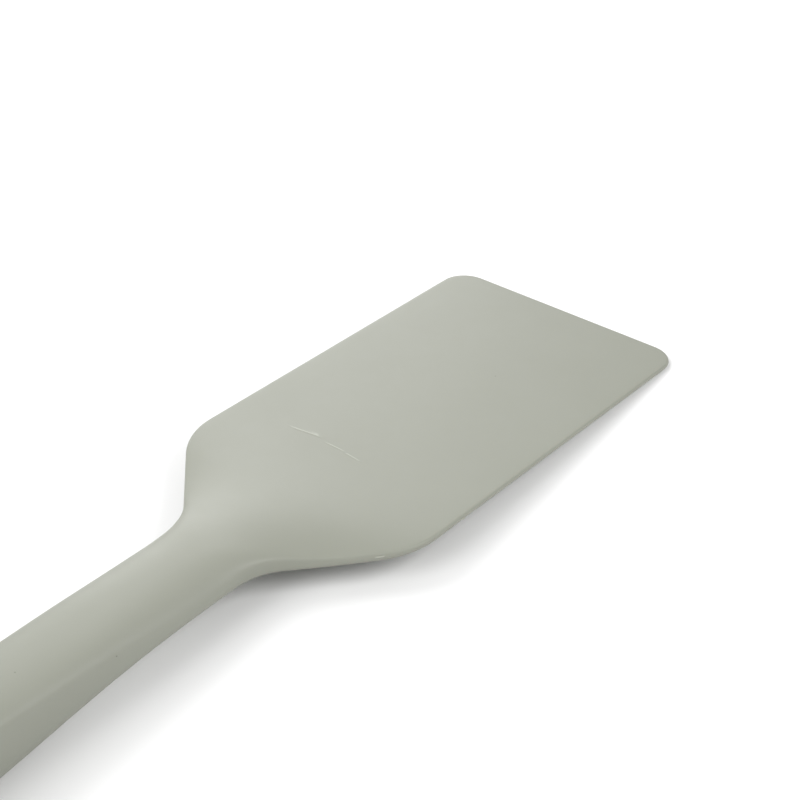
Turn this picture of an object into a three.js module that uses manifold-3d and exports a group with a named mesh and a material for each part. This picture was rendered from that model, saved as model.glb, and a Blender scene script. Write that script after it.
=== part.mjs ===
// Offset turner with a one-piece silicone skin moulded over a nylon handle core
// and a spring-steel blade plate. Millimetres, +Z up, +X towards the blade's front edge.
//
// The shape is drawn in the blade's own frame: s is the distance back from the front
// edge, y is across, and z is zero on the blade's flat upper face. The whole turner is
// then tilted to lie as it does on a table, on its front edge and the belly of its grip.

import * as THREE from 'three';
import { ParametricGeometry } from 'three/addons/geometries/ParametricGeometry.js';
import { mergeVertices } from 'three/addons/utils/BufferGeometryUtils.js';
import Module from 'manifold-3d';

const wasm = await Module();
wasm.setup();

// Driving dimensions: outline seen from above
const overallLength = 315;
const frontHalfWidth = 40.5;
const rearHalfWidth = 40;
const frontCornerRadius = 8.3;
const shoulderStation = 125;
const shoulderRadius = 22;
const flareAngle = THREE.MathUtils.degToRad(42.6);
const neckRadius = 19;
const neckHalfWidth = 13;
const gripHalfWidth = 11.2;
const gripStation = 240;
const heelHalfWidth = 12.2;
const heelStation = 290;
const heelDomeLength = 14;

// Driving dimensions: heights and section shape
const bladeFrontThickness = 2.2;
const bladeRearThickness = 3.2;
const edgeThickness = 1.3;
const noseLength = 1;
const sideBevelLength = 4;
const frontBevelLength = 11;
const riseStart = 95;
const rimFallStart = 113;
const topRoundStart = 124;
const neckStation = 171;
const neckRise = 2.55;
const neckShoulderHeight = 5.7;
const gripShoulderHeight = 4.7;
const gripCrown = 1.6;
const gripFormStation = 230;
const neckDepth = 5.7;
const bellyStart = 148.7;
const bellyStation = 271;
const bellyDepth = 22;
const heelLift = 7;
const heelRunOut = 20;
const bladeSquareness = 30;
const neckSquareness = 2.3;
const gripSquareness = 5;
const undersideSquareness = 3;
const heelSquareness = 2.4;
const restFlatDepth = 0.1;

// Driving dimensions: what the skin covers
const gap = 0.25;
const skinThickness = 2;
const plateThickness = 0.6;
const plateTop = -0.9;
const plateFront = 13;
const plateInset = 5;
const plateCornerRadius = 6;
const plateShoulderStation = 112;
const tangHalfWidth = 11;
const tangEnd = 149;
const tongueStart = 104;
const tongueHalfWidth = 23;
const tongueCornerRadius = 6;
const tongueUpperEdge = 0.15;
const bladeSkinUnder = 0.65;
const seatEnd = 150;
const seatStepLength = 8;
const coreEnd = overallLength - 4.5;
const tangEndRadius = 4;
const keyingHoleRadius = 4;
const keyingHoleStations = [28, 58, 88];
const keyingHoleOffset = 19;
const rivetStations = [126, 135, 144];
const rivetShankRadius = 2;
const rivetHeadRadius = 3.6;
const rivetHeadHeight = 0.8;
const rivetTailRadius = 3;
const rivetTailHeight = 0.5;
const plugRadius = 2;
const plugDepthPastSkin = 1.5;
const plugPlaces = [
  { s: 40, y: 30 },
  { s: 40, y: -30 },
  { s: 96, y: 30 },
  { s: 96, y: -30 },
  { s: 186, y: 0 },
  { s: 222, y: 0 },
];
const hangSlotRadius = 4.5;
const hangSlotStation = 295;
const hangSlotHalfLength = 4;
const eyeWall = 2;

// Fineness of the faceted surfaces
const skinRing = 32;
const coreRing = 24;
const arcSteps = 8;
const pinSides = 16;

// Sizes of the tool solids, long enough to pass right through
const tableThickness = 40;
const slotToolHeight = 60;
const pinToolHeight = 12;
const tiltSamples = 50;

// Derived outline points
const shoulderTangent = shoulderRadius * Math.tan(flareAngle / 2);
const shoulderCentre = shoulderStation - shoulderTangent;
const flareStart = shoulderCentre + shoulderRadius * Math.sin(flareAngle);
const neckCorner = shoulderStation + (rearHalfWidth - neckHalfWidth) / Math.tan(flareAngle);
const neckCentre = neckCorner + neckRadius * Math.tan(flareAngle / 2);
const flareEnd = neckCentre - neckRadius * Math.sin(flareAngle);

const mix = (a, b, t) => a + (b - a) * t;
const mixLog = (a, b, t) => Math.exp(mix(Math.log(a), Math.log(b), t));

// Quintic step from 0 at "from" to 1 at "to", level at both ends
function ease(s, from, to) {
  const t = THREE.MathUtils.clamp((s - from) / (to - from), 0, 1);
  return t * t * t * (t * (6 * t - 15) + 10);
}

// Half of the outline's width at station s, without the rounding of the heel
function outlineHalfWidth(s) {
  const sideHalfWidth = mix(frontHalfWidth, rearHalfWidth, s / shoulderStation);
  if (s < frontCornerRadius) {
    const back = frontCornerRadius - s;
    return sideHalfWidth - frontCornerRadius + Math.sqrt(frontCornerRadius ** 2 - back ** 2);
  }
  if (s < shoulderCentre) return sideHalfWidth;
  if (s < flareStart) {
    return rearHalfWidth - shoulderRadius + Math.sqrt(shoulderRadius ** 2 - (s - shoulderCentre) ** 2);
  }
  if (s < flareEnd) {
    const start = rearHalfWidth - shoulderRadius * (1 - Math.cos(flareAngle));
    return start - (s - flareStart) * Math.tan(flareAngle);
  }
  if (s < neckCentre) {
    return neckHalfWidth + neckRadius - Math.sqrt(neckRadius ** 2 - (s - neckCentre) ** 2);
  }
  const grip = mix(neckHalfWidth, gripHalfWidth, ease(s, neckCentre, gripStation));
  return mix(grip, heelHalfWidth, ease(s, gripStation, heelStation));
}

const neckShare = (s) => ease(s, riseStart, neckStation);
const gripShare = (s) => ease(s, neckStation, gripFormStation);
const bladeThickness = (s) => mix(bladeFrontThickness, bladeRearThickness, s / tongueStart);
const topCentre = (s) => neckRise * neckShare(s);

// Lowest point of the section at station s
function bottomCentre(s) {
  const belly = ease(s, bellyStart, bellyStation);
  const lift = heelLift * ease(s, bellyStation, overallLength + heelRunOut);
  const handle = mix(neckDepth, bellyDepth, belly) - lift;
  return -mix(bladeThickness(s), handle, neckShare(s));
}

// Level of the widest line: it falls from the blade's edge to the sides of the neck
function rimLevel(s) {
  const neckRim = neckRise - neckShoulderHeight;
  const gripRim = neckRise - gripShoulderHeight - gripCrown;
  const fall = ease(s, rimFallStart, neckStation);
  return mix(mix(-edgeThickness / 2, neckRim, fall), gripRim, gripShare(s));
}

// Section of the skin. Over the flare the top is a shallow crown with a thin edge,
// which rounds over as it runs into the neck.
function skinSection(s) {
  const neck = neckShare(s);
  const grip = gripShare(s);
  const topRound = ease(s, topRoundStart, neckStation);
  const rim = rimLevel(s);
  const over = topCentre(s) - rim;
  const under = rim - bottomCentre(s);
  const crown = (over - edgeThickness / 2) * (1 - topRound) + gripCrown * grip;
  const bevel = (under - edgeThickness / 2) * (1 - neck);
  const roundedOver = mixLog(neckSquareness, gripSquareness, grip);
  return {
    halfWidth: outlineHalfWidth(s),
    rim,
    upper: over - crown,
    crown,
    bevel,
    lower: under - bevel,
    upperSquareness: mixLog(bladeSquareness, roundedOver, topRound),
    lowerSquareness: mixLog(bladeSquareness, undersideSquareness, neck),
  };
}

// Point at angle v (0 to 1, once around) on a superellipse half above and half below the rim
function ringPoint(section, v) {
  const onTop = v <= 0.5;
  const across = onTop ? 1 - 4 * v : 4 * v - 3;
  const angle = across * Math.PI / 2;
  const power = 2 / (onTop ? section.upperSquareness : section.lowerSquareness);
  const side = Math.sign(across) * Math.abs(Math.sin(angle)) ** power;
  const height = Math.abs(Math.cos(angle)) ** power;
  const edgeDistance = (1 - Math.abs(side)) * section.halfWidth;
  const bevel = section.bevel * Math.min(1, edgeDistance / sideBevelLength);
  const above = section.upper * height + section.crown * (1 - side * side);
  const below = section.lower * height + bevel;
  return { y: side * section.halfWidth, z: section.rim + (onTop ? above : -below) };
}

// Loft through rings at the given stations; the first and last ring are flat or a point
function loft(stations, ringCount, pointAt) {
  const last = stations.length - 1;
  const geometry = new ParametricGeometry((u, v, target) => {
    const i = Math.round(u * last);
    const point = pointAt(stations[i], v % 1, i / last);
    target.set(-point.s, point.y, point.z);
  }, last, ringCount);
  return closed(geometry);
}

// Merge shared points and drop the triangles that a collapsed ring leaves without area
function closed(geometry) {
  geometry.deleteAttribute('normal');
  geometry.deleteAttribute('uv');
  const merged = mergeVertices(geometry, 1e-4);
  const index = [];
  for (let i = 0; i < merged.index.count; i += 3) {
    const corners = [0, 1, 2].map((k) => merged.index.getX(i + k));
    if (new Set(corners).size === 3) index.push(...corners);
  }
  merged.setIndex(index);
  return merged;
}

function toSolid(geometry) {
  return new wasm.Manifold(new wasm.Mesh({
    numProp: 3,
    vertProperties: Float32Array.from(geometry.attributes.position.array),
    triVerts: Uint32Array.from(geometry.index.array),
  }));
}

function toGeometry(solid) {
  const { vertProperties, triVerts } = solid.getMesh();
  const geometry = new THREE.BufferGeometry();
  geometry.setAttribute('position', new THREE.BufferAttribute(vertProperties, 3));
  geometry.setIndex(new THREE.BufferAttribute(triVerts, 1));
  geometry.computeVertexNormals();
  return geometry;
}

// Evenly spaced values from "from" up to, but not including, "to"
const spread = (from, to, count) => Array.from({ length: count }, (_, i) => mix(from, to, i / count));

// Stations around a rounded end, closer together near its very tip, which is left out
const frontStations = (tip, radius, count) =>
  spread(1, 0, count).slice(1).map((share) => tip + radius * (1 - Math.sin(share * Math.PI / 2)));
const rearStations = (tip, radius, count) =>
  spread(0, 1, count).map((share) => tip - radius * (1 - Math.sin(share * Math.PI / 2)));

function skinStations() {
  return [
    0,
    noseLength / 10,
    ...frontStations(0, frontCornerRadius, 6),
    frontCornerRadius,
    frontBevelLength,
    ...spread(frontBevelLength + 40, riseStart, 2),
    ...spread(riseStart, shoulderCentre, 4),
    ...spread(shoulderCentre, flareStart, 4),
    ...spread(flareStart, flareEnd, 4),
    ...spread(flareEnd, neckCentre, 4),
    ...spread(neckCentre, bellyStation, 12),
    ...spread(bellyStation, overallLength - heelDomeLength, 3),
    ...rearStations(overallLength, heelDomeLength, 7),
    overallLength,
  ];
}

// Share of full size near the front edge and near the heel, falling to 0 at both ends
function noseShare(s) {
  return s < noseLength ? Math.sqrt(1 - (1 - s / noseLength) ** 2) : 1;
}

function heelShare(s, end) {
  const into = Math.max(0, s - (end - heelDomeLength)) / heelDomeLength;
  return Math.max(0, 1 - into ** heelSquareness) ** (1 / heelSquareness);
}

// Pull a ring towards the middle of its depth, as the domed heel does
function domed(point, s, end) {
  const share = heelShare(s, end);
  const middle = (topCentre(s) + bottomCentre(s)) / 2;
  return { s, y: point.y * share, z: mix(middle, point.z, share) };
}

function skinOuter() {
  const geometry = loft(skinStations(), skinRing, (s, v) => {
    const section = skinSection(s);
    section.upper *= noseShare(s);
    section.lower *= noseShare(s);
    section.bevel *= Math.min(1, s / frontBevelLength);
    return domed(ringPoint(section, v), s, overallLength);
  });
  return toSolid(geometry).subtract(tableBlock());
}

// Angle at which the turner lies: a straight edge held under its front and its belly
function restTilt() {
  const frontBottom = -edgeThickness;
  const slopeAt = (s) => (frontBottom - bottomCentre(s)) / s;
  const slopes = spread(gripStation, heelStation, tiltSamples).map(slopeAt);
  return Math.atan(Math.max(...slopes));
}

// The table, sunk into the skin by the depth of the small flats that it rests on
function tableBlock() {
  const tilt = restTilt();
  const block = new THREE.BoxGeometry(2 * overallLength, 4 * frontHalfWidth, tableThickness);
  block.translate(0, 0, -tableThickness / 2 - edgeThickness * Math.cos(tilt) + restFlatDepth);
  block.rotateY(-tilt);
  return toSolid(closed(block));
}

// Thickness of the skin under the core, from the thin blade to the thick neck
const skinUnder = (s) => mix(bladeSkinUnder, skinThickness, neckShare(s));

// Handle core: a thin wide tongue under the plate, a seat step, then the grip bar
function coreSection(s, grow) {
  const section = skinSection(s);
  const bar = ease(s, seatEnd, seatEnd + seatStepLength);
  const cover = skinThickness + gap;
  const seat = plateTop - plateThickness - gap;
  const bottom = bottomCentre(s) + skinUnder(s) + gap;
  const top = mix(seat, topCentre(s) - cover, bar);
  const rim = mix(seat - tongueUpperEdge, section.rim, bar);
  const cornerBack = Math.max(0, tongueCornerRadius - (s - tongueStart));
  const corner = tongueCornerRadius - Math.sqrt(tongueCornerRadius ** 2 - cornerBack ** 2);
  const halfWidth = Math.min(tongueHalfWidth - corner, outlineHalfWidth(s) - cover);
  return {
    halfWidth: halfWidth + grow,
    rim,
    upper: top - rim + grow,
    crown: 0,
    bevel: 0,
    lower: rim - bottom + grow,
    upperSquareness: mixLog(bladeSquareness, section.upperSquareness, bar),
    lowerSquareness: mixLog(bladeSquareness, undersideSquareness, ease(s, tongueStart, neckStation)),
  };
}

function coreBody(grow) {
  const stations = [
    tongueStart,
    ...frontStations(tongueStart, tongueCornerRadius, 4),
    ...spread(tongueStart + tongueCornerRadius, seatEnd, 8),
    ...spread(seatEnd, seatEnd + seatStepLength, 4),
    ...spread(seatEnd + seatStepLength, bellyStation, 10),
    ...spread(bellyStation, coreEnd - heelDomeLength, 2),
    ...rearStations(coreEnd, heelDomeLength, 5),
    coreEnd,
  ];
  const geometry = loft(stations, coreRing, (s, v, along) => {
    const section = coreSection(s, grow);
    const front = s === tongueStart ? 0 : 1;
    section.upper *= front;
    section.lower *= front;
    const point = domed(ringPoint(section, v), s, coreEnd);
    return { s: s + grow * (2 * along - 1), y: point.y, z: point.z };
  });
  const eyeRadius = hangSlotRadius + eyeWall + gap - grow;
  return toSolid(geometry).subtract(slotPrism(eyeRadius));
}

// Upright prism with round ends, long along the handle, through the heel
function slotPrism(radius) {
  const shape = new THREE.Shape();
  const front = -hangSlotStation + hangSlotHalfLength;
  const back = -hangSlotStation - hangSlotHalfLength;
  shape.absarc(front, 0, radius, -Math.PI / 2, Math.PI / 2, false);
  shape.absarc(back, 0, radius, Math.PI / 2, 1.5 * Math.PI, false);
  shape.closePath();
  const depth = slotToolHeight;
  const prism = new THREE.ExtrudeGeometry(shape, { depth, bevelEnabled: false, curveSegments: arcSteps });
  prism.translate(0, 0, -depth / 2);
  return toSolid(closed(prism));
}

// Outline of the blade plate with its tang, and the holes the silicone keys through
function plateBody(grow, rivetHoles) {
  const half = rearHalfWidth - plateInset + grow;
  const tang = tangHalfWidth + grow;
  const front = -plateFront + grow;
  const shoulder = -plateShoulderStation - grow;
  const end = -tangEnd - grow;
  const round = plateCornerRadius;
  const shape = new THREE.Shape();
  shape.moveTo(front, 0);
  shape.lineTo(front, half - round);
  shape.absarc(front - round, half - round, round, 0, Math.PI / 2, false);
  shape.absarc(shoulder + 2 * round, half - 2 * round, 2 * round, Math.PI / 2, Math.PI, false);
  shape.absarc(shoulder - round, tang + round, round, 0, -Math.PI / 2, true);
  shape.absarc(end + tangEndRadius, tang - tangEndRadius, tangEndRadius, Math.PI / 2, Math.PI, false);
  shape.absarc(end + tangEndRadius, -tang + tangEndRadius, tangEndRadius, Math.PI, 1.5 * Math.PI, false);
  shape.absarc(shoulder - round, -tang - round, round, Math.PI / 2, 0, true);
  shape.absarc(shoulder + 2 * round, -half + 2 * round, 2 * round, Math.PI, 1.5 * Math.PI, false);
  shape.absarc(front - round, -half + round, round, -Math.PI / 2, 0, false);
  shape.closePath();
  for (const s of keyingHoleStations) {
    for (const y of [-keyingHoleOffset, keyingHoleOffset]) {
      shape.holes.push(new THREE.Path().absarc(-s, y, keyingHoleRadius - grow, 0, 2 * Math.PI, true));
    }
  }
  if (rivetHoles) {
    for (const s of rivetStations) {
      shape.holes.push(new THREE.Path().absarc(-s, 0, rivetShankRadius + gap, 0, 2 * Math.PI, true));
    }
  }
  const depth = plateThickness + 2 * grow;
  const plate = new THREE.ExtrudeGeometry(shape, { depth, bevelEnabled: false, curveSegments: arcSteps });
  plate.translate(0, 0, plateTop - plateThickness - grow);
  return toSolid(closed(plate));
}

// Rivet with a low round head on the plate and its tail set in the tongue's underside
function rivetBody(s, grow) {
  const headBottom = plateTop + gap - grow;
  const headTop = plateTop + gap + rivetHeadHeight + grow;
  const tailBottom = bottomCentre(s) + skinUnder(s) + 2 * gap - grow;
  const tailTop = tailBottom + rivetTailHeight + 2 * grow;
  const shank = rivetShankRadius + grow;
  const head = rivetHeadRadius + grow;
  const tail = rivetTailRadius + grow;
  const profile = [
    [0, tailBottom],
    [tail, tailBottom],
    [tail, tailTop],
    [shank, tailTop],
    [shank, headBottom],
    [head, headBottom],
    [head, headTop - rivetHeadHeight / 2],
    [head / 2, headTop],
    [0, headTop],
  ].map(([radius, height]) => new THREE.Vector2(radius, height));
  const rivet = new THREE.LatheGeometry(profile, pinSides);
  rivet.rotateX(Math.PI / 2);
  rivet.translate(-s, 0, 0);
  return toSolid(closed(rivet));
}

// Upright pin through the underside of the skin, ending inside the cavity
function pinBody({ s, y }, radius) {
  const coreBottom = bottomCentre(s) + skinThickness;
  const inner = s < tongueStart ? plateTop - plateThickness : coreBottom + plugDepthPastSkin;
  const pin = new THREE.CylinderGeometry(radius, radius, pinToolHeight, pinSides);
  pin.rotateX(Math.PI / 2);
  pin.translate(-s, y, inner - pinToolHeight / 2);
  return toSolid(closed(pin));
}

const silicone = { color: 0xb7bab0, roughness: 0.55, metalness: 0 };
const nylon = { color: 0x8b8d87, roughness: 0.6, metalness: 0 };
const springSteel = { color: 0xc3c5c7, roughness: 0.3, metalness: 1 };

function addPiece(group, name, solid, finish) {
  const mesh = new THREE.Mesh(toGeometry(solid), new THREE.MeshStandardMaterial(finish));
  mesh.name = name;
  group.add(mesh);
}

function buildTurner() {
  const turner = new THREE.Group();
  const outer = skinOuter();

  let cavity = coreBody(gap).add(plateBody(gap, false));
  let core = coreBody(0);
  rivetStations.forEach((s, i) => {
    const room = rivetBody(s, gap);
    cavity = cavity.add(room);
    core = core.subtract(room);
    addPiece(turner, `rivet_${i + 1}`, rivetBody(s, 0), springSteel);
  });

  let skin = outer.subtract(cavity).subtract(slotPrism(hangSlotRadius));
  plugPlaces.forEach((place, i) => {
    skin = skin.subtract(pinBody(place, plugRadius + gap));
    const plug = pinBody(place, plugRadius).intersect(outer).subtract(cavity);
    addPiece(turner, `pin_plug_${i + 1}`, plug, silicone);
  });

  addPiece(turner, 'silicone_skin', skin, silicone);
  addPiece(turner, 'handle_core', core, nylon);
  addPiece(turner, 'blade_plate', plateBody(0, true), springSteel);
  return turner;
}

// Lay the turner on the table and put the origin under the middle of its box
function laidOnTable(turner) {
  turner.rotation.y = restTilt();
  turner.updateMatrixWorld(true);
  const box = new THREE.Box3().setFromObject(turner, true);
  const centre = box.getCenter(new THREE.Vector3());
  turner.position.set(-centre.x, -centre.y, -box.min.z);
  const part = new THREE.Group();
  part.add(turner);
  return part;
}

export default laidOnTable(buildTurner());
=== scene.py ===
import math
from types import SimpleNamespace

import bmesh
import bpy
from bpy.props import FloatProperty, FloatVectorProperty, PointerProperty
from mathutils import Matrix, Vector


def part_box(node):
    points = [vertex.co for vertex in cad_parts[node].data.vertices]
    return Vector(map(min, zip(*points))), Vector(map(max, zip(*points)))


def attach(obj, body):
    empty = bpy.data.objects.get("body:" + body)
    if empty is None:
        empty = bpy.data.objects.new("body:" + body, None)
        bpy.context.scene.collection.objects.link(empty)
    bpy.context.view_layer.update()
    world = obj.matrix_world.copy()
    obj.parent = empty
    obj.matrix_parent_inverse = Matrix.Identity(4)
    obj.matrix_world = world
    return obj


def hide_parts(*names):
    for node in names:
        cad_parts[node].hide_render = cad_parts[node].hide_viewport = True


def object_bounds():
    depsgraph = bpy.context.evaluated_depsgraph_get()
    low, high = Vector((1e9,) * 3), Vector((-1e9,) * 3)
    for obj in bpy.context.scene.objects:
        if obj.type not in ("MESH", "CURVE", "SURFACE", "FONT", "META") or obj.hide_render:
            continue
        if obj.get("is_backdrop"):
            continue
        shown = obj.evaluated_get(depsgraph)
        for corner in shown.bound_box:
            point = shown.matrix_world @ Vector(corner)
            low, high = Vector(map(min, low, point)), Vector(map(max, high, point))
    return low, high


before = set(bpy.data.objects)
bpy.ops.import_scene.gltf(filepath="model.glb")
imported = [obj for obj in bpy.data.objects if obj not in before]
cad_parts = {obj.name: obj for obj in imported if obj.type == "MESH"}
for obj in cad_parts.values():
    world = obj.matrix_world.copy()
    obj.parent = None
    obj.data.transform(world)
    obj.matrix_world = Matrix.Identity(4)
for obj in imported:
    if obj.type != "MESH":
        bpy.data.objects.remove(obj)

bl_info = {
    "name": "Silicone Offset Turner",
    "version": (1, 0, 0),
    "blender": (4, 5, 0),
    "location": "View3D > Sidebar > Turner",
    "description": "Builds a silicone-skinned offset turner round its moulded core and spring plate",
    "category": "Add Mesh",
}

MM = 0.001
BODY = "root"
SKIN_NODE = "silicone_skin"
PLUG_NODES = sorted(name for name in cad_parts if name.startswith("pin_plug_"))
RIVET_NODES = sorted(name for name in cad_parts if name.startswith("rivet_"))
INSERT_NODES = ["handle_core", "blade_plate", *RIVET_NODES]
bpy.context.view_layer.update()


def length(name, millimetres, description):
    """A size in the sidebar, given in millimetres."""
    return FloatProperty(name=name, description=description, default=millimetres * MM, unit="LENGTH")


def colour(name, value, description):
    """A linear colour in the sidebar."""
    return FloatVectorProperty(
        name=name, description=description, default=value, size=3, min=0, max=1, subtype="COLOR"
    )


def light_power(name, watts, description):
    """The power of a light in the sidebar."""
    return FloatProperty(name=name, description=description, default=watts, unit="POWER")


def number(name, value, description):
    """A plain number in the sidebar."""
    return FloatProperty(name=name, description=description, default=value)


class TurnerSkinSizes(bpy.types.PropertyGroup):
    """Sizes of the moulded skin. A station is a distance back from the blade's front edge."""

    overall_length: length("Overall length", 315, "Front edge to the end of the handle")
    front_half_width: length("Front half width", 40.5, "Half the blade's width at its front edge")
    rear_half_width: length("Rear half width", 40, "Half the blade's width at its shoulders")
    front_corner_radius: length("Front corner radius", 8.3, "Radius of the blade's front corners")
    shoulder_station: length("Shoulder station", 125, "Where the blade's sides meet the flare")
    shoulder_radius: length("Shoulder radius", 22, "Radius between a side and the flare")
    flare_angle: FloatProperty(
        name="Flare angle",
        description="Angle of the flare from the blade's sides to the neck",
        default=math.radians(42.6),
        subtype="ANGLE",
    )
    neck_radius: length("Neck radius", 19, "Radius between the flare and the handle")
    neck_half_width: length("Neck half width", 13, "Half the width where the flare ends")
    grip_half_width: length("Grip half width", 11.2, "Half the handle's width at its narrowest")
    grip_station: length("Grip station", 240, "Where the handle is narrowest")
    heel_half_width: length("Heel half width", 12.2, "Half the handle's width near its end")
    heel_station: length("Heel station", 290, "Where the handle reaches its end width")
    heel_dome_length: length("Heel dome length", 14, "Length of the rounded handle end")
    heel_squareness: number("Heel squareness", 2.4, "Superellipse power of the rounded end")
    blade_front_thickness: length("Front thickness", 2.2, "Blade thickness behind the front edge")
    blade_rear_thickness: length("Rear thickness", 3.2, "Blade thickness at the core's tongue")
    edge_thickness: length("Edge thickness", 1.3, "Thickness of the blade's round edge")
    side_bevel_length: length("Side bevel", 4, "Width of the underside's bevel along the sides")
    front_bevel_length: length("Front bevel", 11, "Length of the underside's front bevel")
    tongue_start: length("Tongue start", 104, "Front end of the core's tongue inside the blade")
    rise_start: length("Rise start", 95, "Where the blade starts to turn into the neck")
    rim_fall_start: length("Rim fall start", 113, "Where the rim starts to fall below the blade")
    rim_fall_end: length("Rim fall end", 157, "Where the rim reaches its level at the neck")
    top_round_start: length("Top round start", 131, "Where the crowned top starts to round over")
    neck_station: length("Neck station", 171, "Where the neck's cross-section is complete")
    neck_rise: length("Neck rise", 2.55, "Height of the neck's top over the blade")
    neck_shoulder_height: length("Neck shoulder", 5.7, "Rim to shoulder height at the neck")
    grip_shoulder_height: length("Grip shoulder", 4.7, "Rim to shoulder height at the grip")
    grip_crown: length("Grip crown", 1.6, "Rise of the handle's crowned top")
    grip_form_station: length("Grip form station", 230, "Where the grip's form is complete")
    neck_depth: length("Neck depth", 5.7, "Underside of the neck below the blade's top")
    belly_start: length("Belly start", 148.7, "Where the underside starts down to the belly")
    belly_station: length("Belly station", 271, "Where the belly is deepest")
    belly_depth: length("Belly depth", 22, "Depth of the belly below the blade's top")
    heel_lift: length("Heel lift", 7, "Rise of the underside behind the belly")
    heel_run_out: length("Heel run-out", 20, "How far past the end the lift would be complete")
    blade_squareness: number("Blade squareness", 30, "Superellipse power across the blade")
    neck_squareness: number("Neck squareness", 2.3, "Superellipse power over the neck")
    grip_squareness: number("Grip squareness", 5, "Superellipse power over the grip")
    underside_squareness: number("Underside squareness", 3, "Superellipse power under the handle")
    rest_flat_depth: length("Rest flat", 0.1, "Depth of the small flats on which the turner rests")


class TurnerDetailSizes(bpy.types.PropertyGroup):
    """Sizes of the openings and of the marks that the mould leaves."""

    slot_station: length("Slot station", 295, "Middle of the hanging slot")
    slot_radius: length("Slot radius", 4.5, "Half the hanging slot's width")
    slot_half_length: length("Slot half length", 4, "Half the slot's straight length")
    slot_lip: length("Slot lip", 1, "Radius of the hanging slot's lip")
    pin_gap: length("Pin gap", 0.12, "Gap round each pin plug")
    pin_lip: length("Pin lip", 0.2, "Radius of the lip round each pin hole")
    pin_recess: length("Pin recess", 0.9, "Depth of the widened mouth of a pin hole")
    witness_height: length("Witness height", 0.16, "Height of the broken line across the blade")
    witness_width: length("Witness width", 0.42, "Width of the broken line across the blade")
    parting_height: length("Parting height", 0.05, "Height of the parting line round the rim")
    parting_half_width: length("Parting width", 0.12, "Half the parting line's width")
    flash_height: length("Flash height", 0.4, "How far a tab of flash stands out of the rim")
    flash_half_length: length("Flash half length", 1.1, "Half the length of a tab of flash")


class TurnerFinishes(bpy.types.PropertyGroup):
    """Colours of the finishes."""

    silicone: colour("Silicone", (0.24, 0.247, 0.209), "Pale sage silicone")
    silicone_shade: colour("Silicone shade", (0.235, 0.242, 0.204), "Slightly deeper sage")
    # Paler sage painted on the raised marks, the broken line and the tabs of flash: a painted highlight
    # along them.
    raised_mark_painted_highlight: colour("Raised mark painted highlight", (0.34, 0.347, 0.3), "Thin raised silicone, a paler sage")
    speck: colour("Speck", (0.15, 0.15, 0.125), "Tiny specks in the silicone")
    nylon: colour("Nylon", (0.045, 0.047, 0.05), "Glass-filled nylon")
    glass_fibre: colour("Glass fibre", (0.16, 0.165, 0.165), "Fibres showing in the nylon")
    spring_steel: colour("Spring steel", (0.56, 0.57, 0.58), "Bare rolled spring steel")
    rivet_steel: colour("Rivet steel", (0.62, 0.61, 0.59), "Bright rivet steel")
    floor: colour("Floor", (0.8, 0.8, 0.8), "Plain pale table")


class TurnerStage(bpy.types.PropertyGroup):
    """Camera and studio light."""

    camera_location: FloatVectorProperty(
        name="Camera",
        description="Camera position",
        default=(-0.22512, -0.24429, 0.29459),
        size=3,
        subtype="TRANSLATION",
        unit="LENGTH",
    )
    camera_forward: FloatVectorProperty(
        name="Camera forward",
        description="Direction in which the camera looks",
        default=(0.6289, 0.5110, -0.5859),
        size=3,
        subtype="DIRECTION",
    )
    camera_up: FloatVectorProperty(
        name="Camera up",
        description="Direction of the picture's upper side",
        default=(0.4673, 0.3538, 0.8102),
        size=3,
        subtype="DIRECTION",
    )
    lens: FloatProperty(name="Lens", description="Focal length", default=78.53, unit="CAMERA")
    key_power: light_power("Key light", 4.8, "Power of the soft light over the handle's left side")
    back_power: light_power("Back light", 4.15, "Power of the low soft light beyond the front edge")
    left_power: light_power("Left light", 4.5, "Power of the soft light on the left")
    fill_power: light_power("Fill light", 6.1, "Power of the soft light on the right")
    sky_strength: number("Sky", 0.59, "Strength of the even light all round")
    floor_size: FloatProperty(
        name="Floor size", description="Side of the floor", default=12, unit="LENGTH"
    )


# --- Form of the skin ---------------------------------------------------------------------------

# Columns of the mesh round each edge and from there to the middle, and rings in the rounded ends.
EDGE_COLUMNS = 12
FACE_COLUMNS = 32
CORNER_STEPS = 24
DOME_STEPS = 18

# Gaps between rings: on plain stretches, at a tab of flash and over the broken line.
PLAIN_STEP = 1.25 * MM
FLASH_STEP = 0.3 * MM
WITNESS_STEP = 0.1 * MM

FLASH_STATIONS = (107 * MM, 132.3 * MM)
FLASH_REACH = 2 * MM
WITNESS_STATION = 104.3 * MM
WITNESS_REACH = 2.2 * MM
WITNESS_FADE = 0.9 * MM

# Runs of the broken line, from left to right: the two ends of each as (station, across), in
# millimetres.
WITNESS_RUNS = (
    ((104.6, 20.0), (103.1, 11.0)),
    ((104.3, 7.4), (104.3, 2.1)),
    ((104.7, 0.4), (105.2, -4.1)),
)

# Stations, in whole millimetres, among which the belly's contact with the table is looked for.
BELLY_STATIONS = range(240, 290)

# Name of the mesh attribute that is 1 on a raised mark and 0 elsewhere.
RAISED = "raised"


def mix(first, second, share):
    """A value part of the way from the first to the second."""
    return first + (second - first) * share


def mix_power(first, second, share):
    """A power part of the way from the first to the second, in even ratios."""
    return first ** (1 - share) * second**share


def ease(value, start, end):
    """0 before start and 1 after end, with a smooth run between."""
    share = min(1, max(0, (value - start) / (end - start)))
    return share**3 * (share * (6 * share - 15) + 10)


def round_share(share):
    """Height of a quarter circle at a share of its radius in from its edge."""
    return math.sqrt(max(0, 1 - (1 - min(1, share)) ** 2))


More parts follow.
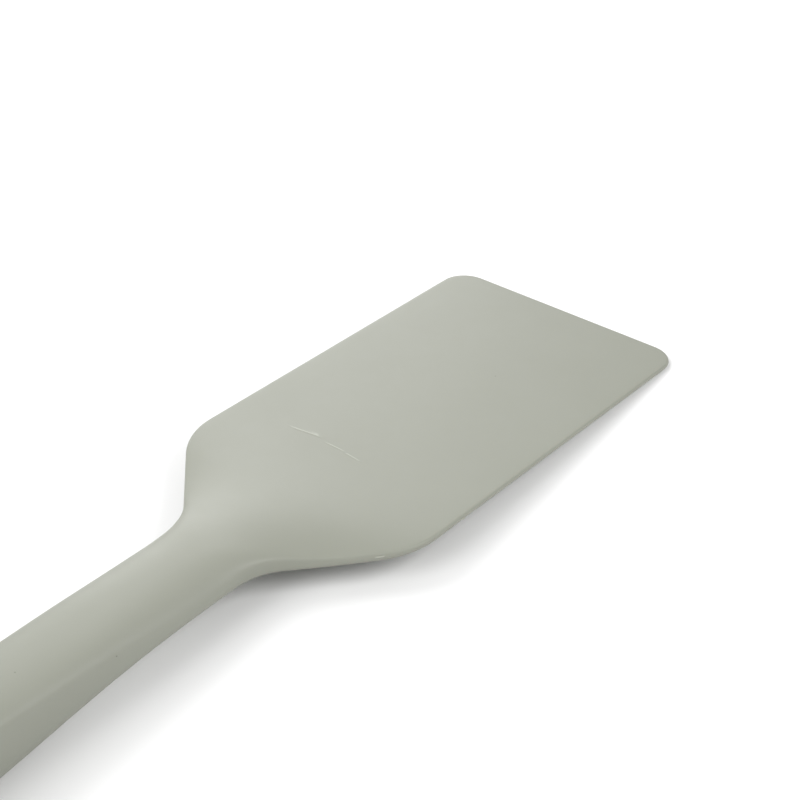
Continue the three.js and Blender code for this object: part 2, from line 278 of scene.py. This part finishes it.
def outline(sizes):
    """Stations where the outline's arcs start and end."""
    half_turn = math.tan(sizes.flare_angle / 2)
    sine = math.sin(sizes.flare_angle)
    narrowing = sizes.rear_half_width - sizes.neck_half_width
    shoulder = sizes.shoulder_station - sizes.shoulder_radius * half_turn
    corner = sizes.shoulder_station + narrowing / math.tan(sizes.flare_angle)
    neck = corner + sizes.neck_radius * half_turn
    return SimpleNamespace(
        shoulder=shoulder,
        flare_start=shoulder + sizes.shoulder_radius * sine,
        flare_end=neck - sizes.neck_radius * sine,
        neck=neck,
    )


def side_half_width(sizes, station):
    """Half width of the blade if its front corners were square."""
    return mix(sizes.front_half_width, sizes.rear_half_width, station / sizes.shoulder_station)


def half_width(sizes, station):
    """Half the skin's width at a station."""
    marks = outline(sizes)
    if station < sizes.front_corner_radius:
        radius = sizes.front_corner_radius
        return side_half_width(sizes, station) - radius * (1 - round_share(station / radius))
    if station < marks.shoulder:
        return side_half_width(sizes, station)
    if station < marks.flare_start:
        radius = sizes.shoulder_radius
        return sizes.rear_half_width - radius + math.sqrt(radius**2 - (station - marks.shoulder) ** 2)
    if station < marks.flare_end:
        start = sizes.rear_half_width - sizes.shoulder_radius * (1 - math.cos(sizes.flare_angle))
        return start - (station - marks.flare_start) * math.tan(sizes.flare_angle)
    if station < marks.neck:
        radius = sizes.neck_radius
        return sizes.neck_half_width + radius - math.sqrt(radius**2 - (station - marks.neck) ** 2)
    to_grip = ease(station, marks.neck, sizes.grip_station)
    to_heel = ease(station, sizes.grip_station, sizes.heel_station)
    return mix(mix(sizes.neck_half_width, sizes.grip_half_width, to_grip), sizes.heel_half_width, to_heel)


def underside(sizes, station, thickness, neck):
    """Level of the middle of the underside, from the blade's flat top."""
    belly = ease(station, sizes.belly_start, sizes.belly_station)
    lift = ease(station, sizes.belly_station, sizes.overall_length + sizes.heel_run_out)
    handle = mix(sizes.neck_depth, sizes.belly_depth, belly) - sizes.heel_lift * lift
    return -mix(thickness, handle, neck)


def rim_level(sizes, station, grip):
    """Level of the widest line: it falls from the blade's edge to the sides of the neck."""
    neck_rim = sizes.neck_rise - sizes.neck_shoulder_height
    grip_rim = sizes.neck_rise - sizes.grip_shoulder_height - sizes.grip_crown
    fall = ease(station, sizes.rim_fall_start, sizes.rim_fall_end)
    return mix(mix(-sizes.edge_thickness / 2, neck_rim, fall), grip_rim, grip)


def cross_section(sizes, station):
    """Everything that sets the skin's cross-section at one station."""
    neck = ease(station, sizes.rise_start, sizes.neck_station)
    grip = ease(station, sizes.neck_station, sizes.grip_form_station)
    thickness = mix(
        sizes.blade_front_thickness, sizes.blade_rear_thickness, station / sizes.tongue_start
    )
    top = sizes.neck_rise * neck
    bottom = underside(sizes, station, thickness, neck)
    half_edge = sizes.edge_thickness / 2
    top_round = ease(station, sizes.top_round_start, sizes.neck_station)
    rim = rim_level(sizes, station, grip)
    crown = (top - rim - half_edge) * (1 - top_round) + sizes.grip_crown * grip
    bevel = (rim - bottom - half_edge) * (1 - neck)
    dome_start = sizes.overall_length - sizes.heel_dome_length
    into_dome = min(1, max(0, station - dome_start) / sizes.heel_dome_length)
    power = sizes.heel_squareness
    over = mix_power(sizes.neck_squareness, sizes.grip_squareness, grip)
    return SimpleNamespace(
        station=station,
        half_width=half_width(sizes, station),
        straight_half_width=side_half_width(sizes, station),
        neck=neck,
        top_round=top_round,
        rim=rim,
        upper=top - rim - crown,
        crown=crown,
        lower=rim - bottom - bevel,
        bevel=bevel * min(1, station / sizes.front_bevel_length),
        middle=(top + bottom) / 2,
        over=mix_power(sizes.blade_squareness, over, top_round),
        under=mix_power(sizes.blade_squareness, sizes.underside_squareness, neck),
        dome=(1 - into_dome**power) ** (1 / power),
    )


def inset(sizes, cut, side):
    """Distance in from the blade's outline, square to it round the front corners."""
    across = (1 - abs(side)) * cut.half_width
    radius = sizes.front_corner_radius
    if cut.station >= radius:
        return across
    beyond = abs(side) * cut.half_width - (cut.straight_half_width - radius)
    if beyond <= 0:
        return cut.station
    return radius - math.hypot(radius - cut.station, beyond)


def level(sizes, cut, side, on_top):
    """Height of the skin's surface at a share of the half width."""
    edge_radius = sizes.edge_thickness / 2
    rounded = cut.top_round if on_top else cut.neck
    edge = mix(round_share(max(0, inset(sizes, cut, side)) / edge_radius), 1, rounded)
    power = cut.over if on_top else cut.under
    height = edge * (1 - min(1, abs(side)) ** power) ** (1 / power)
    if on_top:
        plain = cut.rim + cut.upper * height + cut.crown * (1 - side * side)
    else:
        across = (1 - abs(side)) * cut.half_width
        plain = cut.rim - cut.lower * height - cut.bevel * min(1, across / sizes.side_bevel_length)
    return mix(cut.middle, plain, cut.dome)


def surface_point(sizes, station, across, on_top):
    """The point of the skin's surface over or under a place on the blade's plane."""
    cut = cross_section(sizes, station)
    side = across / (cut.half_width * cut.dome)
    return Vector((-station, across, level(sizes, cut, side, on_top)))


def seat(sizes):
    """Places the blade's own frame in the row frame: the turner rests on its front edge and belly."""
    slope = 0
    for millimetres in BELLY_STATIONS:
        station = millimetres * MM
        neck = ease(station, sizes.rise_start, sizes.neck_station)
        drop = -underside(sizes, station, sizes.blade_rear_thickness, neck) - sizes.edge_thickness
        slope = max(slope, drop / station)
    tilt = math.atan(slope)
    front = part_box(SKIN_NODE)[1].x + sizes.edge_thickness / 2 * math.sin(tilt)
    lift = sizes.edge_thickness * math.cos(tilt) - sizes.rest_flat_depth
    return Matrix.Translation((front, 0, lift)) @ Matrix.Rotation(tilt, 4, "Y")


def stations(sizes):
    """Stations of the skin's cross-sections, close together where the form turns or carries a mark."""
    quarter = math.pi / 2
    places = [
        sizes.front_corner_radius * (1 - math.cos(step / CORNER_STEPS * quarter))
        for step in range(CORNER_STEPS + 1)
    ]
    dome_start = sizes.overall_length - sizes.heel_dome_length
    while places[-1] < dome_start - PLAIN_STEP:
        last = places[-1]
        gap = PLAIN_STEP
        if any(abs(last - mark) < FLASH_REACH for mark in FLASH_STATIONS):
            gap = FLASH_STEP
        if abs(last - WITNESS_STATION) < WITNESS_REACH:
            gap = WITNESS_STEP
        places.append(last + gap)
    for step in range(DOME_STEPS + 1):
        reach = math.sin(step / DOME_STEPS * quarter) ** (2 / sizes.heel_squareness)
        places.append(dome_start + sizes.heel_dome_length * reach)
    return places


def column_sides(sizes, cut):
    """Shares of the half width from the rim to the middle, close together round the edge."""
    power = mix_power(cut.over, cut.under, 0.5)
    edge_radius = sizes.edge_thickness / 2
    sides = []
    for step in range(EDGE_COLUMNS + 1):
        turn = step / EDGE_COLUMNS * math.pi / 2
        blade = 1 - edge_radius * (1 - math.cos(turn)) / cut.half_width
        handle = math.cos(turn / 2) ** (2 / power)
        sides.append(mix(blade, handle, cut.top_round))
    inner = sides[-1]
    sides += [inner * (1 - step / FACE_COLUMNS) for step in range(1, FACE_COLUMNS + 1)]
    return sides


def witness(details, station, across):
    """Height of the broken line that the core's tongue leaves across the blade."""
    height = 0
    for (left_station, left), (right_station, right) in WITNESS_RUNS:
        share = (left * MM - across) / ((left - right) * MM)
        middle = mix(left_station, right_station, min(1, max(0, share))) * MM
        inside = min(left * MM - across, across - right * MM)
        fade = ease(inside, -WITNESS_FADE, WITNESS_FADE)
        offset = (station - middle) / (details.witness_width / 2)
        height += details.witness_height * fade * math.exp(-offset * offset)
    return height


def flash(details, station):
    """How far the rim stands out at a tab of flash."""
    away = min(abs(station - mark) for mark in FLASH_STATIONS)
    half_length = details.flash_half_length
    return details.flash_height * (1 - ease(away, half_length / 2, half_length))


def ring(sizes, details, station):
    """One cross-section from the left rim over the top and back under the underside.

    Gives its points and how far each one is part of a raised mark.
    """
    cut = cross_section(sizes, station)
    sides = column_sides(sizes, cut)
    reach = cut.half_width * cut.dome
    edge = min(1, inset(sizes, cut, 0) / sizes.edge_thickness)
    parting = details.parting_height * edge * cut.dome
    foot = details.parting_half_width * edge * cut.dome
    rim = mix(cut.middle, cut.rim, cut.dome)
    spread = [*sides, *(-side for side in reversed(sides[:-1]))]
    points = []
    marks = []
    for on_top in (True, False):
        for side in spread if on_top else reversed(spread[1:-1]):
            across = side * (reach - parting)
            height = level(sizes, cut, side, on_top)
            raised = witness(details, station, across) if on_top and abs(side) < 1 else 0
            points.append(Vector((-station, across, height + raised)))
            # The share of the broken line also sets where the silicone paints its highlight.
            marks.append(raised / details.witness_height)
    last = len(sides) * 2 - 2
    tab = flash(details, station) * edge
    points[0] = Vector((-station, reach, rim))
    points[last] = Vector((-station, -reach - tab, rim))
    # A tab of flash is marked too, and takes the same painted highlight.
    marks[last] = tab / details.flash_height
    for neighbour, way in ((1, 1), (-1, -1), (last - 1, 1), (last + 1, -1)):
        point = points[neighbour]
        point.z = rim + way * max(foot, abs(point.z - rim))
    return points, marks


# --- Mesh helpers -------------------------------------------------------------------------------

SHARP_ANGLE = math.radians(38)
WELD_DISTANCE = 0.0005 * MM


def new_piece(name, mesh, material):
    """Links a mesh as a piece that rides on the turner's one body."""
    mesh.materials.append(material)
    piece = bpy.data.objects.new(name, mesh)
    bpy.context.scene.collection.objects.link(piece)
    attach(piece, BODY)
    return piece


def finished_mesh(name, form):
    """Turns a bmesh into a smooth mesh with its hard edges marked."""
    bmesh.ops.remove_doubles(form, verts=form.verts, dist=WELD_DISTANCE)
    bmesh.ops.recalc_face_normals(form, faces=form.faces)
    mesh = bpy.data.meshes.new(name)
    form.to_mesh(mesh)
    form.free()
    smooth(mesh)
    return mesh


def smooth(mesh):
    """Shades a mesh smooth, apart from its hard edges."""
    mesh.shade_smooth()
    mesh.set_sharp_from_angle(angle=SHARP_ANGLE)


def bridge(form, first, second):
    """Joins two closed loops of vertices with a band of faces."""
    count = len(first)
    for index in range(count):
        after = (index + 1) % count
        form.faces.new((first[index], first[after], second[after], second[index]))


def rest_on_table(point):
    """Keeps a placed point at or above the table, which gives the turner its rest flats."""
    return Vector((point.x, point.y, max(0, point.z)))


# --- Skin ---------------------------------------------------------------------------------------


def place_in_node(placement, name):
    """Middle, radius and ends of an upright round CAD node, in the blade's own frame."""
    to_blade = placement.inverted()
    points = [to_blade @ vertex.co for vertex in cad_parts[name].data.vertices]
    low = Vector(map(min, *points))
    high = Vector(map(max, *points))
    middle = (low + high) / 2
    return SimpleNamespace(
        station=-middle.x, across=middle.y, radius=(high.y - low.y) / 2, low=low.z, high=high.z
    )


class Opening:
    """An upright opening in the skin: a stadium whose straight length may be nothing."""

    def __init__(self, station, across, half_length, radius, lip):
        self.station = station
        self.across = across
        self.half_length = half_length
        self.radius = radius
        self.lip = lip

    def outline_point(self, place, offset):
        """The outline point nearest to a place, moved out by an offset."""
        along = min(self.half_length, max(-self.half_length, place.x - self.station))
        middle = Vector((self.station + along, self.across))
        return middle + (place - middle).normalized() * (self.radius + offset)


# Loops of the mesh from the skin's grid to an opening's lip and round the lip.
SPREAD_LOOPS = 4
LIP_LOOPS = 6
OPENING_MARGIN = 2.2 * MM


def nearest(values, target):
    """Index of the value nearest to a target."""
    return min(range(len(values)), key=lambda index: abs(values[index] - target))


def opening_block(opening, places, rings):
    """The stations and top columns of the block of faces that an opening replaces."""
    reach = opening.radius + opening.lip + OPENING_MARGIN
    first = nearest(places, opening.station - opening.half_length - reach)
    last = nearest(places, opening.station + opening.half_length + reach)
    middle = rings[nearest(places, opening.station)]
    across = [point.y for point in middle[: len(middle) // 2 + 1]]
    left = nearest(across, opening.across + reach)
    right = nearest(across, opening.across - reach)
    return first, last, left, right


def block_border(block):
    """Grid places round a block, in order."""
    first, last, left, right = block
    border = [(first, column) for column in range(left, right)]
    border += [(row, right) for row in range(first, last)]
    border += [(last, column) for column in range(right, left, -1)]
    border += [(row, left) for row in range(last, first, -1)]
    return border


def lip_loops(form, sizes, opening, border, placement, on_top):
    """Loops of vertices from a block's border to the opening's edge and over its lip."""
    loops = [border]
    to_blade = placement.inverted()
    starts = [to_blade @ vertex.co for vertex in border]
    flats = [Vector((-point.x, point.y)) for point in starts]
    ends = [opening.outline_point(flat, opening.lip) for flat in flats]

    def add_loop(points):
        loops.append([form.verts.new(rest_on_table(placement @ point)) for point in points])

    for step in range(1, SPREAD_LOOPS + 1):
        spots = [flat.lerp(end, step / SPREAD_LOOPS) for flat, end in zip(flats, ends)]
        add_loop([surface_point(sizes, spot.x, spot.y, on_top) for spot in spots])
    way = -1 if on_top else 1
    for step in range(1, LIP_LOOPS + 1):
        turn = step / LIP_LOOPS * math.pi / 2
        depth = opening.lip * (1 - math.cos(turn))
        points = []
        for flat, end in zip(flats, ends):
            spot = opening.outline_point(flat, opening.lip * (1 - math.sin(turn)))
            rest = surface_point(sizes, end.x, end.y, on_top)
            points.append(Vector((-spot.x, spot.y, rest.z + way * depth)))
        add_loop(points)
    for outer, inner in zip(loops, loops[1:]):
        bridge(form, outer, inner)
    return loops[-1]


def grid_form(form, sizes, details, placement):
    """The stations of the skin's cross-sections, their points and the vertices made from them."""
    layer = form.verts.layers.float.new(RAISED)
    places = stations(sizes)
    rings, marks = zip(*(ring(sizes, details, station) for station in places))
    grid = []
    for points, shares in zip(rings, marks):
        row = [form.verts.new(rest_on_table(placement @ point)) for point in points]
        for vertex, share in zip(row, shares):
            vertex[layer] = share
        grid.append(row)
    return places, rings, grid


def cover(form, grid, open_faces):
    """Faces over a grid of closed rings, apart from the open ones."""
    count = len(grid[0])
    for row in range(len(grid) - 1):
        here, beyond = grid[row], grid[row + 1]
        for column in range(count):
            if (row, column) not in open_faces:
                after = (column + 1) % count
                form.faces.new((here[column], here[after], beyond[after], beyond[column]))


def skin_form(sizes, details, placement, slot, pins):
    """The skin's outside, with its hanging slot through it and a mouth for each pin hole."""
    form = bmesh.new()
    places, rings, grid = grid_form(form, sizes, details, placement)
    slot_block = opening_block(slot, places, rings)
    pin_blocks = [opening_block(pin, places, rings) for pin in pins]

    def underneath(column):
        return (len(grid[0]) - column) % len(grid[0])

    open_faces = set()
    for block in (slot_block, *pin_blocks):
        first, last, left, right = block
        for row in range(first, last):
            for column in range(left, right):
                if block == slot_block:
                    open_faces.add((row, column))
                open_faces.add((row, underneath(column + 1)))
    cover(form, grid, open_faces)

    top_border = [grid[row][column] for row, column in block_border(slot_block)]
    top_edge = lip_loops(form, sizes, slot, top_border, placement, True)
    border = [grid[row][underneath(column)] for row, column in block_border(slot_block)]
    bridge(form, top_edge, lip_loops(form, sizes, slot, border, placement, False))
    for pin, block in zip(pins, pin_blocks):
        border = [grid[row][underneath(column)] for row, column in block_border(block)]
        mouth = lip_loops(form, sizes, pin, border, placement, False)
        up = placement.to_3x3() @ Vector((0, 0, details.pin_recess - pin.lip))
        floor = [form.verts.new(vertex.co + up) for vertex in mouth]
        bridge(form, mouth, floor)
        form.faces.new(floor)
    return form


class TURNER_OT_mould_skin(bpy.types.Operator):
    """Moulds the silicone skin round the core and the plate"""

    bl_idname = "turner.mould_skin"
    bl_label = "Mould the skin"

    def execute(self, context):
        sizes = context.scene.turner_skin
        details = context.scene.turner_details
        placement = seat(sizes)
        slot = Opening(
            details.slot_station, 0, details.slot_half_length, details.slot_radius, details.slot_lip
        )
        pins = []
        for name in PLUG_NODES:
            node = place_in_node(placement, name)
            radius = node.radius + details.pin_gap
            pins.append(Opening(node.station, node.across, 0, radius, details.pin_lip))
        form = skin_form(sizes, details, placement, slot, pins)
        skin = new_piece("skin", finished_mesh("skin", form), silicone())
        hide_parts(SKIN_NODE)
        return {"FINISHED"}


# --- Pin plugs ----------------------------------------------------------------------------------

PLUG_TURNS = 48
PLUG_BEVEL = 0.22 * MM
PLUG_BEVEL_STEPS = 4
PLUG_DISH = 0.08 * MM
PLUG_RINGS = 5


def plug_form(sizes, placement, node):
    """One plug: a round stem whose lower face follows the skin and is dished a little."""
    form = bmesh.new()
    flat = node.radius - PLUG_BEVEL
    profile = [flat * step / PLUG_RINGS for step in range(1, PLUG_RINGS + 1)]
    depths = [PLUG_DISH * (1 - (radius / profile[-1]) ** 2) for radius in profile]
    for step in range(1, PLUG_BEVEL_STEPS + 1):
        turn = step / PLUG_BEVEL_STEPS * math.pi / 2
        profile.append(node.radius - PLUG_BEVEL * (1 - math.sin(turn)))
        depths.append(PLUG_BEVEL * (1 - math.cos(turn)))
    loops = []
    for radius, depth in zip(profile, depths):
        points = []
        for step in range(PLUG_TURNS):
            turn = step / PLUG_TURNS * 2 * math.pi
            station = node.station + radius * math.cos(turn)
            across = node.across + radius * math.sin(turn)
            point = surface_point(sizes, station, across, False) + Vector((0, 0, depth))
            points.append(form.verts.new(rest_on_table(placement @ point)))
        loops.append(points)
    to_blade = placement.inverted()
    top = []
    for vertex in loops[-1]:
        point = to_blade @ vertex.co
        top.append(form.verts.new(placement @ Vector((point.x, point.y, node.high))))
    for lower, upper in zip(loops, [*loops[1:], top]):
        bridge(form, lower, upper)
    form.faces.new(loops[0])
    form.faces.new(top)
    return form


class TURNER_OT_close_pin_holes(bpy.types.Operator):
    """Closes each pin hole under the skin with a silicone plug"""

    bl_idname = "turner.close_pin_holes"
    bl_label = "Close the pin holes"

    def execute(self, context):
        sizes = context.scene.turner_skin
        placement = seat(sizes)
        material = silicone()
        for name in PLUG_NODES:
            node = place_in_node(placement, name)
            mesh = finished_mesh(name.replace("pin_plug", "plug"), plug_form(sizes, placement, node))
            plug = new_piece(mesh.name, mesh, material)
            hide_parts(name)
        return {"FINISHED"}


# --- Materials ----------------------------------------------------------------------------------

# Sizes of each finish's own features, and depths of its relief.
CLOUD_SIZE = 30 * MM
SPECK_SPACING = 12 * MM
SPECK_SHARE = 0.022
SHEEN_SIZE = 4 * MM
GRAIN_SIZE = 0.25 * MM
GRAIN_DEPTH = 0.006 * MM
PEEL_SIZE = 3 * MM
PEEL_DEPTH = 0.005 * MM
SCATTER_DEPTH = 1.5 * MM
FIBRE_SIZE = 0.3 * MM
FIBRE_DEPTH = 0.01 * MM
PLATE_LINE_SIZE = 0.2 * MM
RIVET_LINE_SIZE = 0.3 * MM
LINE_DEPTH = 0.008 * MM

# How the lines and fibres are drawn out: a small share stretches them along that axis.
ALONG_THE_HANDLE = (0.15, 1, 1)
ALONG_THE_PLATE = (0.04, 1, 1)
DOWN_THE_RIVET = (1, 1, 0.1)

# The dark share of brushed steel's colour.
LINE_SHADE = 0.82


class Finish:
    """A procedural material on one Principled shader, in the object's own metres."""

    def __init__(self, name, **constants):
        self.material = bpy.data.materials.new(name)
        self.material.use_nodes = True
        self.tree = self.material.node_tree
        self.shader = self.tree.nodes["Principled BSDF"]
        self.place = self.add("ShaderNodeTexCoord").outputs["Object"]
        for socket, value in constants.items():
            self.shader.inputs[socket.replace("_", " ")].default_value = value

    def add(self, kind, **settings):
        """A new node with its settings."""
        node = self.tree.nodes.new(kind)
        for name, value in settings.items():
            setattr(node, name, value)
        return node

    def link(self, output, target):
        """Joins an output to an input."""
        self.tree.links.new(output, target)

    def stretched(self, scale):
        """The object's own coordinates, scaled along each axis."""
        mapping = self.add("ShaderNodeMapping")
        mapping.inputs["Scale"].default_value = scale
        self.link(self.place, mapping.inputs["Vector"])
        return mapping.outputs["Vector"]

    def noise(self, size, detail=2, place=None):
        """Noise whose features are about one size across, in metres."""
        texture = self.add("ShaderNodeTexNoise")
        texture.inputs["Scale"].default_value = 1 / size
        texture.inputs["Detail"].default_value = detail
        self.link(place or self.place, texture.inputs["Vector"])
        return texture.outputs["Fac"]

    def spots(self, size, reach):
        """1 inside scattered round spots and 0 outside them."""
        cells = self.add("ShaderNodeTexVoronoi")
        cells.inputs["Scale"].default_value = 1 / size
        self.link(self.place, cells.inputs["Vector"])
        return self.mapped(cells.outputs["Distance"], reach, reach / 2, 0, 1)

    def mapped(self, value, from_low, from_high, to_low, to_high):
        """A value moved from one range to another and kept inside it."""
        node = self.add("ShaderNodeMapRange")
        node.clamp = True
        for socket, number_in in zip(node.inputs[1:5], (from_low, from_high, to_low, to_high)):
            socket.default_value = number_in
        self.link(value, node.inputs["Value"])
        return node.outputs["Result"]

    def blend(self, share, first, second):
        """A colour mix. Each side is a colour or the output of another mix."""
        node = self.add("ShaderNodeMix", data_type="RGBA")
        factor, colour_a, colour_b = node.inputs[0], node.inputs[6], node.inputs[7]
        self.link(share, factor)
        for socket, side in ((colour_a, first), (colour_b, second)):
            if isinstance(side, bpy.types.NodeSocket):
                self.link(side, socket)
            else:
                socket.default_value = (*side, 1)
        return node.outputs[2]

    def colour_with(self, tint):
        """Gives the surface its colour."""
        self.link(tint, self.shader.inputs["Base Color"])

    def roughen_with(self, rough):
        """Gives the surface its roughness."""
        self.link(rough, self.shader.inputs["Roughness"])

    def relieve_with(self, relief):
        """Gives the surface its relief."""
        self.link(relief, self.shader.inputs["Normal"])

    def bump(self, height, depth, after=None):
        """A bump of a depth in metres, on top of another one."""
        node = self.add("ShaderNodeBump")
        node.inputs["Distance"].default_value = depth
        self.link(height, node.inputs["Height"])
        if after is not None:
            self.link(after, node.inputs["Normal"])
        return node.outputs["Normal"]


def silicone():
    """Satin silicone: a fine blasted mould texture, faint clouding, a few specks and a painted highlight
    on the raised marks.
    """
    made = bpy.data.materials.get("satin_silicone")
    if made:
        return made
    colours = bpy.context.scene.turner_finishes
    finish = Finish(
        "satin_silicone", IOR=1.41, Subsurface_Weight=0.12, Subsurface_Scale=SCATTER_DEPTH
    )
    finish.shader.inputs["Subsurface Radius"].default_value = (1, 0.95, 0.8)
    clouds = finish.mapped(finish.noise(CLOUD_SIZE), 0.35, 0.65, 0, 1)
    cloudy = finish.blend(clouds, colours.silicone, colours.silicone_shade)
    speckled = finish.blend(finish.spots(SPECK_SPACING, SPECK_SHARE), cloudy, colours.speck)
    # The raised marks take a paler colour: a painted highlight along the broken line and the tabs of
    # flash.
    raised = finish.add("ShaderNodeAttribute", attribute_name=RAISED).outputs["Fac"]
    finish.colour_with(finish.blend(raised, speckled, colours.raised_mark_painted_highlight))
    finish.roughen_with(finish.mapped(finish.noise(SHEEN_SIZE), 0.3, 0.7, 0.465, 0.495))
    grain = finish.bump(finish.noise(GRAIN_SIZE), GRAIN_DEPTH)
    finish.relieve_with(finish.bump(finish.noise(PEEL_SIZE), PEEL_DEPTH, grain))
    return finish.material


def filled_nylon():
    """Glass-filled nylon: dark, with short fibres lying along the flow."""
    colours = bpy.context.scene.turner_finishes
    finish = Finish("filled_nylon", IOR=1.53)
    along = finish.stretched(ALONG_THE_HANDLE)
    fibres = finish.mapped(finish.noise(FIBRE_SIZE, 3, along), 0.55, 0.7, 0, 1)
    finish.colour_with(finish.blend(fibres, colours.nylon, colours.glass_fibre))
    finish.roughen_with(finish.mapped(fibres, 0, 1, 0.42, 0.6))
    finish.relieve_with(finish.bump(fibres, FIBRE_DEPTH))
    return finish.material


def brushed_steel(name, tint, stretch, size):
    """Bare steel with fine lines drawn one way."""
    finish = Finish(name, Metallic=1.0)
    lines = finish.noise(size, 4, finish.stretched(stretch))
    darker = [channel * LINE_SHADE for channel in tint]
    finish.colour_with(finish.blend(lines, darker, tint))
    finish.roughen_with(finish.mapped(lines, 0.3, 0.7, 0.24, 0.4))
    finish.relieve_with(finish.bump(lines, LINE_DEPTH))
    return finish.material


class TURNER_OT_finish_inserts(bpy.types.Operator):
    """Gives the core, the plate and the rivets their finishes"""

    bl_idname = "turner.finish_inserts"
    bl_label = "Finish the inserts"

    def execute(self, context):
        colours = context.scene.turner_finishes
        rolled = brushed_steel(
            "rolled_spring_steel", list(colours.spring_steel), ALONG_THE_PLATE, PLATE_LINE_SIZE
        )
        bright = brushed_steel(
            "bright_rivet_steel", list(colours.rivet_steel), DOWN_THE_RIVET, RIVET_LINE_SIZE
        )
        finishes = {name: bright for name in RIVET_NODES}
        finishes["handle_core"] = filled_nylon()
        finishes["blade_plate"] = rolled
        for name in INSERT_NODES:
            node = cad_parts[name]
            node.data.materials.clear()
            node.data.materials.append(finishes[name])
        return {"FINISHED"}


# --- Stage --------------------------------------------------------------------------------------

# Azimuth from +X towards +Y and elevation in degrees, and the size of the soft disk, for each light.
LIGHTS = {
    "key": (165, 38, 0.6),
    "back": (45, 16, 0.6),
    "left": (105, 45, 0.6),
    "fill": (-75, 40, 0.6),
}
LIGHT_DISTANCE = 1000 * MM

# The floor lies this far below the rest flats, so that no face of it coincides with theirs.
FLOOR_DROP = 0.02 * MM
FLOOR_SEGMENTS = 8
FLOOR_CLOUD_SIZE = 200 * MM
FLOOR_SHADE = 0.985


def floor_finish():
    """A matt, nearly plain surface."""
    finish = Finish("pale_table", Roughness=0.9)
    colours = bpy.context.scene.turner_finishes
    tint = list(colours.floor)
    dimmer = [channel * FLOOR_SHADE for channel in tint]
    finish.colour_with(finish.blend(finish.noise(FLOOR_CLOUD_SIZE), tint, dimmer))
    return finish.material


def camera_rotation(forward, up):
    """Turns a camera to look forward with a given side up."""
    forward = forward.normalized()
    right = forward.cross(up).normalized()
    above = right.cross(forward)
    return Matrix((right, above, -forward)).transposed()


def lay_floor(scene, size):
    """The table, a little below the turner."""
    form = bmesh.new()
    bmesh.ops.create_grid(
        form, x_segments=FLOOR_SEGMENTS, y_segments=FLOOR_SEGMENTS, size=size / 2
    )
    mesh = bpy.data.meshes.new("floor")
    form.to_mesh(mesh)
    form.free()
    mesh.materials.append(floor_finish())
    floor = bpy.data.objects.new("floor", mesh)
    floor.location.z = -FLOOR_DROP
    scene.collection.objects.link(floor)
    floor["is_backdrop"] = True


def light_sky(scene, strength):
    """Even white light from all round."""
    world = bpy.data.worlds.new("studio")
    world.use_nodes = True
    sky = world.node_tree.nodes["Background"]
    sky.inputs["Color"].default_value = (1, 1, 1, 1)
    sky.inputs["Strength"].default_value = strength
    scene.world = world


def hang_light(scene, name, watts):
    """One soft disk of light that faces the middle of the turner."""
    azimuth, elevation, size = LIGHTS[name]
    light = bpy.data.lights.new(name, "AREA")
    light.shape = "DISK"
    light.size = size
    light.energy = watts
    lamp = bpy.data.objects.new(name, light)
    turn = Matrix.Rotation(math.radians(azimuth), 3, "Z")
    lean = Matrix.Rotation(math.radians(-elevation), 3, "Y")
    direction = turn @ lean @ Vector((1, 0, 0))
    low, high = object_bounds()
    lamp.location = (low + high) / 2 + direction * LIGHT_DISTANCE
    lamp.rotation_euler = direction.to_track_quat("Z", "Y").to_euler()
    scene.collection.objects.link(lamp)


def set_camera(scene, stage):
    """The camera, with plain colours in its picture."""
    view = bpy.data.cameras.new("camera")
    view.lens = stage.lens
    camera = bpy.data.objects.new("camera", view)
    turn = camera_rotation(Vector(stage.camera_forward), Vector(stage.camera_up))
    camera.matrix_world = Matrix.Translation(stage.camera_location) @ turn.to_4x4()
    scene.collection.objects.link(camera)
    scene.camera = camera
    scene.view_settings.view_transform = "Standard"


class TURNER_OT_build_stage(bpy.types.Operator):
    """Sets the floor, the soft studio light and the camera"""

    bl_idname = "turner.build_stage"
    bl_label = "Build the stage"

    def execute(self, context):
        scene = context.scene
        stage = scene.turner_stage
        lay_floor(scene, stage.floor_size)
        light_sky(scene, stage.sky_strength)
        for name in LIGHTS:
            hang_light(scene, name, getattr(stage, name + "_power"))
        set_camera(scene, stage)
        return {"FINISHED"}


# --- Sidebar ------------------------------------------------------------------------------------


class TURNER_PT_sidebar(bpy.types.Panel):
    """Lists the steps that build the turner and the sizes behind them"""

    bl_idname = "TURNER_PT_sidebar"
    bl_label = "Offset turner"
    bl_space_type = "VIEW_3D"
    bl_region_type = "UI"
    bl_category = "Turner"

    def draw(self, context):
        layout = self.layout
        for step in STEPS:
            layout.operator(step.bl_idname)
        for group in GROUPS:
            settings = getattr(context.scene, group)
            box = layout.box()
            for name in settings.__annotations__:
                box.prop(settings, name)


STEPS = (
    TURNER_OT_mould_skin,
    TURNER_OT_close_pin_holes,
    TURNER_OT_finish_inserts,
    TURNER_OT_build_stage,
)
GROUPS = {
    "turner_skin": TurnerSkinSizes,
    "turner_details": TurnerDetailSizes,
    "turner_finishes": TurnerFinishes,
    "turner_stage": TurnerStage,
}


def register():
    """Adds the turner's sizes, steps and sidebar to Blender."""
    for item in (*GROUPS.values(), *STEPS, TURNER_PT_sidebar):
        bpy.utils.register_class(item)
    for name, group in GROUPS.items():
        setattr(bpy.types.Scene, name, PointerProperty(type=group))


def unregister():
    """Takes the turner's sizes, steps and sidebar out of Blender."""
    for name in GROUPS:
        delattr(bpy.types.Scene, name)
    for item in (TURNER_PT_sidebar, *reversed(STEPS), *reversed(GROUPS.values())):
        bpy.utils.unregister_class(item)


def main():
    """Builds the turner and its stage."""
    register()
    bpy.ops.turner.mould_skin()
    bpy.ops.turner.close_pin_holes()
    bpy.ops.turner.finish_inserts()
    bpy.ops.turner.build_stage()


if __name__ == "__main__":
    main()
